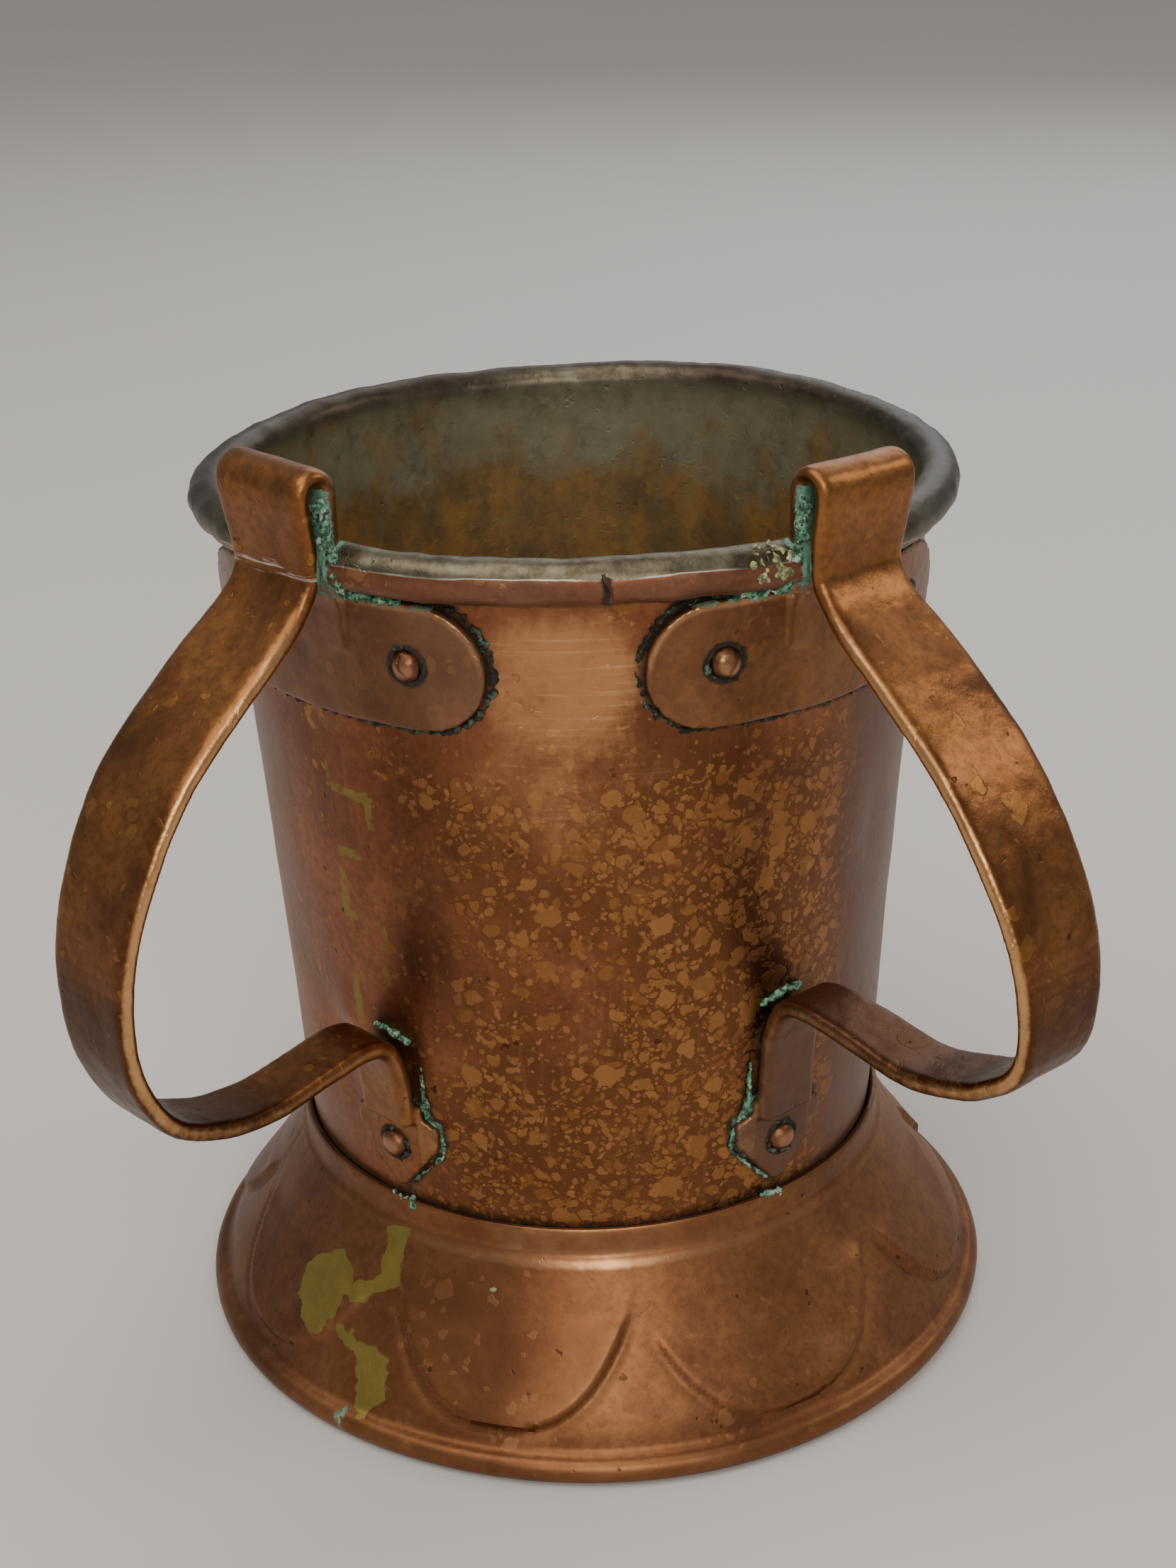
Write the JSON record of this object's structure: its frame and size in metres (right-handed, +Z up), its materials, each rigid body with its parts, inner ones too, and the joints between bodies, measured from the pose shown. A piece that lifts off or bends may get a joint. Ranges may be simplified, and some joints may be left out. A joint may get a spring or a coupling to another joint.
{
  "type": "two-handled washing cup",
  "caption": "Tapered copper beaker with a rolled rim, a flared hollow foot and riveted ear-shaped strap handles that loop over the rim.",
  "frame": {"origin": "centre of the bounding box, on the surface the foot stands on", "axes": "+Z up along the vessel axis, -Y the front, between the two handles, +X to the right as seen from the front"},
  "size_m": [0.1452, 0.1478, 0.157],
  "materials": {
    "body_copper": "aged copper, spotted patina, tinned at the rim and inside",
    "foot_copper": "aged copper, satin, worn smooth",
    "strap_copper": "aged copper with rubbed bright edges",
    "rivet_copper": "hammered copper",
    "wire_copper": "dull copper"
  },
  "bodies": {
    "root": {"vessel_wall": "body_copper", "vessel_floor": "body_copper", "rim_wire_front": "wire_copper", "rim_wire_back": "wire_copper", "foot_skirt": "foot_copper", "foot_wire": "wire_copper", "left_handle": "strap_copper", "right_handle": "strap_copper", "left_rivet_front": "rivet_copper", "left_rivet_rear": "rivet_copper", "left_rivet_lower": "rivet_copper", "right_rivet_front": "rivet_copper", "right_rivet_rear": "rivet_copper", "right_rivet_lower": "rivet_copper"}
  },
  "joints": []
}
